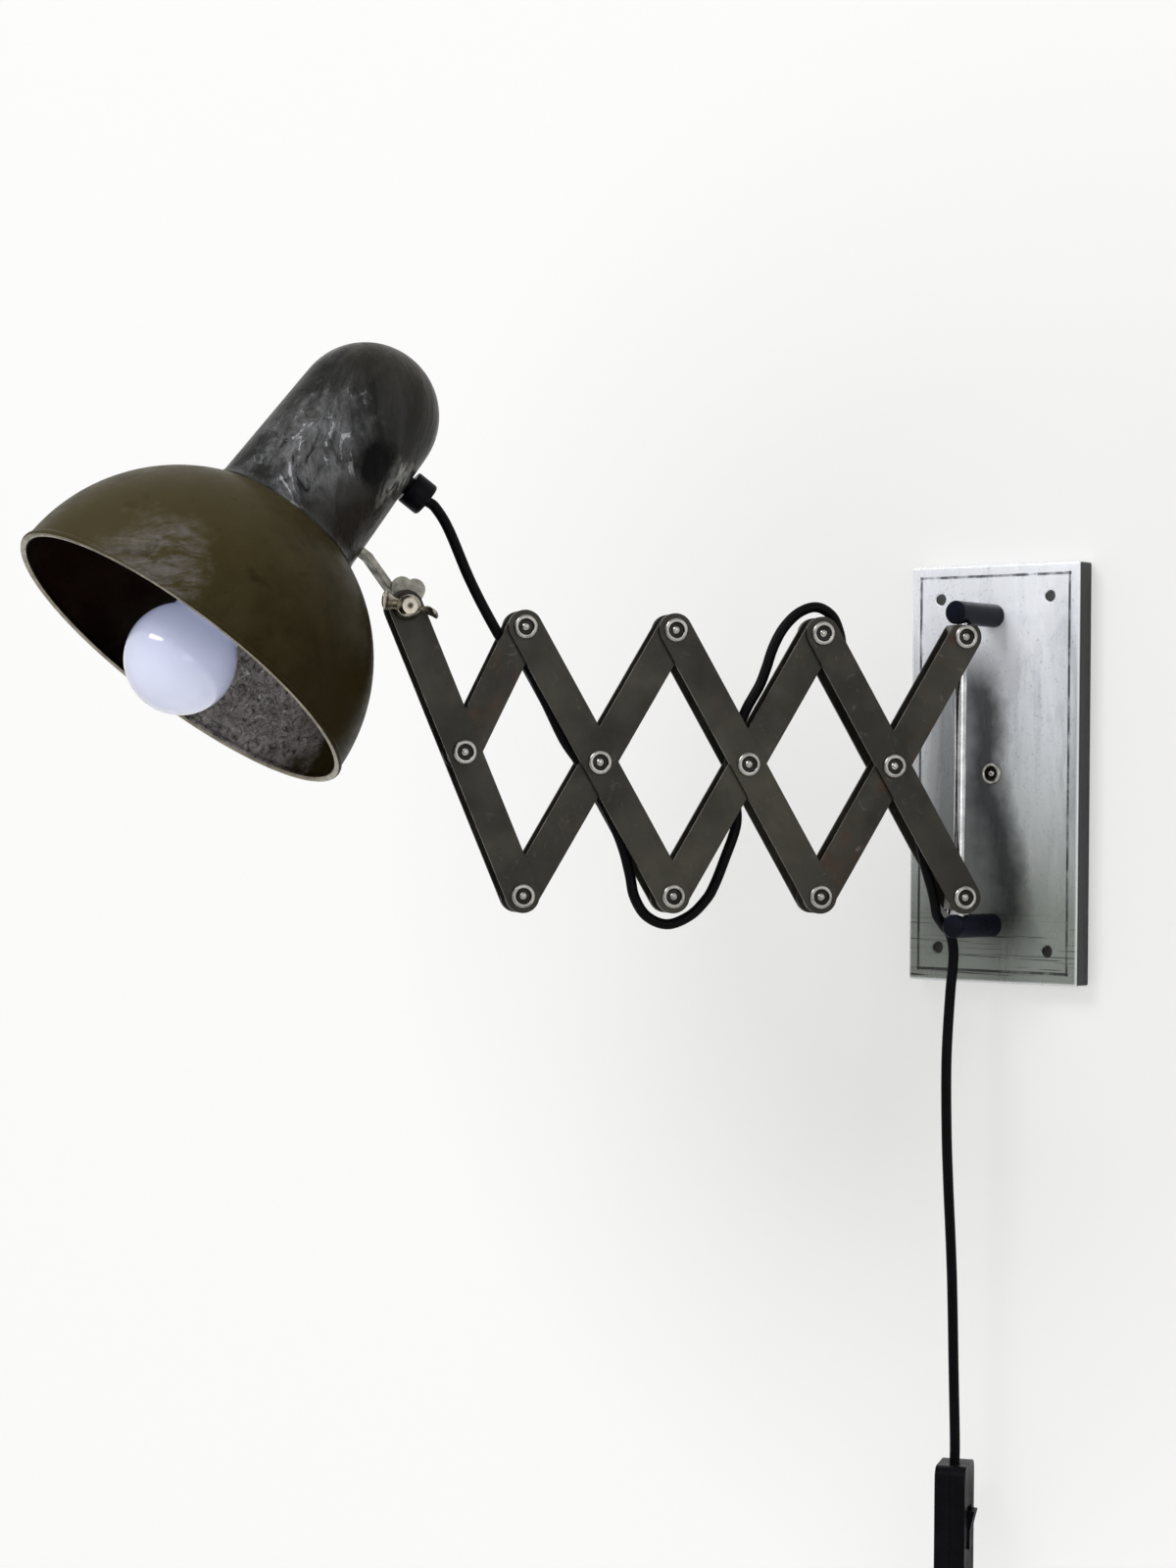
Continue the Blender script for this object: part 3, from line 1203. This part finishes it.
HOLDER_TOP, HOLDER_LEN, HOLDER_R = DISC_DOWN + STRAP_T + STRAP_GAP, 49.0, 20.0
HOLDER_END = HOLDER_TOP + HOLDER_LEN
GLOBE_R, THROAT_R, GLOBE_OUT, GLASS = 22.5, 14.1, 31.4, 1.0
GLOBE_Z = HOLDER_END + GLOBE_OUT


class LAMP_OT_bulb(bpy.types.Operator):
    """Add the lampholder, its tube and the opal bulb"""

    bl_idname = "lamp.bulb"
    bl_label = "Bulb and lampholder"

    def execute(self, context):
        split = HOLDER_TOP + 16
        shell = [(5.1, HOLDER_TOP), (11.5, HOLDER_TOP), (13, HOLDER_TOP + 0.6), (19.2, HOLDER_TOP + 7)]
        shell += [(HOLDER_R, HOLDER_TOP + 8.5), (HOLDER_R, split), (17, split)]
        shell += [(10.6, HOLDER_TOP + 3), (5.1, HOLDER_TOP + 3)]
        top = turned("holder_cap", shell + shell[:1], 72)
        done(top, SHADE, "moulding", "shade", ["lampholder_top"])
        ribs = []
        for k in range(9):
            z = split + 1.2 + k * 2.4
            ribs += [(HOLDER_R - 0.7, z), (HOLDER_R, z + 0.5), (HOLDER_R, z + 1.4), (HOLDER_R - 0.7, z + 1.9)]
        skirt = [(HOLDER_R, HOLDER_END - 8), (HOLDER_R, HOLDER_END - 1.6), (HOLDER_R - 1.4, HOLDER_END)]
        bore = [(13.3, HOLDER_END), (13.3, split + 4), (13.3, split + 0.1)]
        foot = [(HOLDER_R - 0.7, split + 0.1)]
        body = turned("holder_body", foot + ribs + skirt + bore + foot, 72)
        dress(body, "moulding")
        paint_faces(body, "ceramic", lambda f: f.center.z > HOLDER_END - 8)
        done(body, SHADE, None, "shade", ["lampholder_body"])
        from_node("tube_with_nut", "threaded_tube", 0.2 * MM, "brass", "shade")
        self.globe()
        return {"FINISHED"}

    def globe(self):
        throat_top = GLOBE_Z - 18.4
        outer = [(THROAT_R, HOLDER_END + 0.2), (THROAT_R + 0.05, HOLDER_END + 1.5)]
        outer += [(THROAT_R + 0.35, GLOBE_Z - 26.2), (THROAT_R + 0.75, GLOBE_Z - 22.0)]
        outer += [(THROAT_R + 1.15, throat_top)]
        outer += arc(0, GLOBE_Z, GLOBE_R, -46, 90, 30)
        inner = arc(0, GLOBE_Z, GLOBE_R - GLASS, 90, -46, 20)
        inner += [(THROAT_R - GLASS, throat_top), (THROAT_R - GLASS, HOLDER_END + 0.2)]
        inner += [(THROAT_R, HOLDER_END + 0.2)]
        obj = turned("bulb_opal", outer + inner, 96)
        done(obj, SHADE, "bulb", "shade", ["bulb_globe"], 60)
        start_z, turns, crest = HOLDER_END - 24, 7, 13.1
        threads = [(4.5, start_z - 3.9), (10, start_z - 2)]
        for k in range(turns):
            z = start_z + 3.3 * k
            threads += [(crest - 0.9, z), (crest - 0.2, z + 0.8), (crest, z + 1.6), (crest - 0.2, z + 2.4)]
        screw = [(0, start_z - 4)] + threads + [(crest, HOLDER_END), (0, HOLDER_END)]
        cap = turned("bulb_screw_cap", screw, 64)
        done(cap, SHADE, "cap", "shade", ["bulb_cap"])


class LAMP_OT_bush(bpy.types.Operator):
    """Add the cord bush on the neck"""

    bl_idname = "lamp.bush"
    bl_label = "Cord bush"

    def execute(self, context):
        face, out, r = 31.0, BUSH_END, 7.2
        foot = [(2.3, face - 2.6)]
        shape = [(4, face - 2.6), (4, face + 0.4), (6.9, face + 0.3), (r, face + 0.8), (r, out - 1.2)]
        shape += [(r - 0.3, out - 0.5), (r - 1.0, out - 0.05), (3.0, out), (2.3, out - 0.5)]
        obj = turned("bush_black", foot + shape + foot, 48)
        along_x = Matrix.Translation((0, 0, BUSH_DOWN)) @ Matrix.Rotation(math.pi / 2, 4, "Y")
        done(obj, SHADE @ along_x, "moulding", "shade", ["cord_bush"])
        return {"FINISHED"}


# Switch and plug


class LAMP_OT_switch(bpy.types.Operator):
    """Add the cord switch in two halves with its rocker"""

    bl_idname = "lamp.switch"
    bl_label = "Switch"

    def execute(self, context):
        soft = context.scene.lamp_sizes.soft_edge
        for half in ("front", "back"):
            name, node = f"switch_shell_{half}", f"switch_{half}"
            from_node(name, node, soft * 0.6, "moulding", "wall_mount", 3, 50)
        from_node("switch_key_piece", "switch_rocker", 0.4 * MM, "moulding", "switch_key", 3)
        from_node("switch_shell_screws", "switch_screws", 0.15 * MM, "rivet", "wall_mount")
        return {"FINISHED"}


class LAMP_OT_plug(bpy.types.Operator):
    """Add the plug and the tie round the spare cord"""

    bl_idname = "lamp.plug"
    bl_label = "Plug and tie"

    def execute(self, context):
        soft = context.scene.lamp_sizes.soft_edge
        from_node("plug_moulded", "plug_body", soft, "moulding", "wall_mount", 4, 40)
        from_node("plug_prongs", "plug_pins", 0.6 * MM, "pin", "wall_mount", 4)
        from_node("tie_band", "cord_tie", 0.3 * MM, "moulding", "wall_mount")
        return {"FINISHED"}


STEPS = (
    LAMP_OT_stage,
    LAMP_OT_switch,
    LAMP_OT_plug,
    LAMP_OT_cords,
    LAMP_OT_plate,
    LAMP_OT_pegs,
    LAMP_OT_bars,
    LAMP_OT_rivets,
    LAMP_OT_collars,
    LAMP_OT_tilt,
    LAMP_OT_shade,
    LAMP_OT_bulb,
    LAMP_OT_bush,
)


class LAMP_PT_panel(bpy.types.Panel):
    """Lists the sizes, the colours and the steps"""

    bl_idname = "LAMP_PT_panel"
    bl_label = "Wall Lamp"
    bl_space_type = "VIEW_3D"
    bl_region_type = "UI"
    bl_category = "Lamp"

    def draw(self, context):
        for group in (context.scene.lamp_sizes, context.scene.lamp_colours):
            box = self.layout.box()
            for key in group.bl_rna.properties.keys():
                if key not in ("rna_type", "name"):
                    box.prop(group, key)
        for step in STEPS:
            self.layout.operator(step.bl_idname)


CLASSES = (LampSizes, LampColours, *STEPS, LAMP_PT_panel)


def register():
    for item in CLASSES:
        bpy.utils.register_class(item)
    bpy.types.Scene.lamp_sizes = PointerProperty(type=LampSizes)
    bpy.types.Scene.lamp_colours = PointerProperty(type=LampColours)


def unregister():
    del bpy.types.Scene.lamp_sizes
    del bpy.types.Scene.lamp_colours
    for item in reversed(CLASSES):
        bpy.utils.unregister_class(item)


def main():
    register()
    for step in STEPS:
        getattr(bpy.ops.lamp, step.bl_idname.split(".")[1])()


if __name__ == "__main__":
    main()
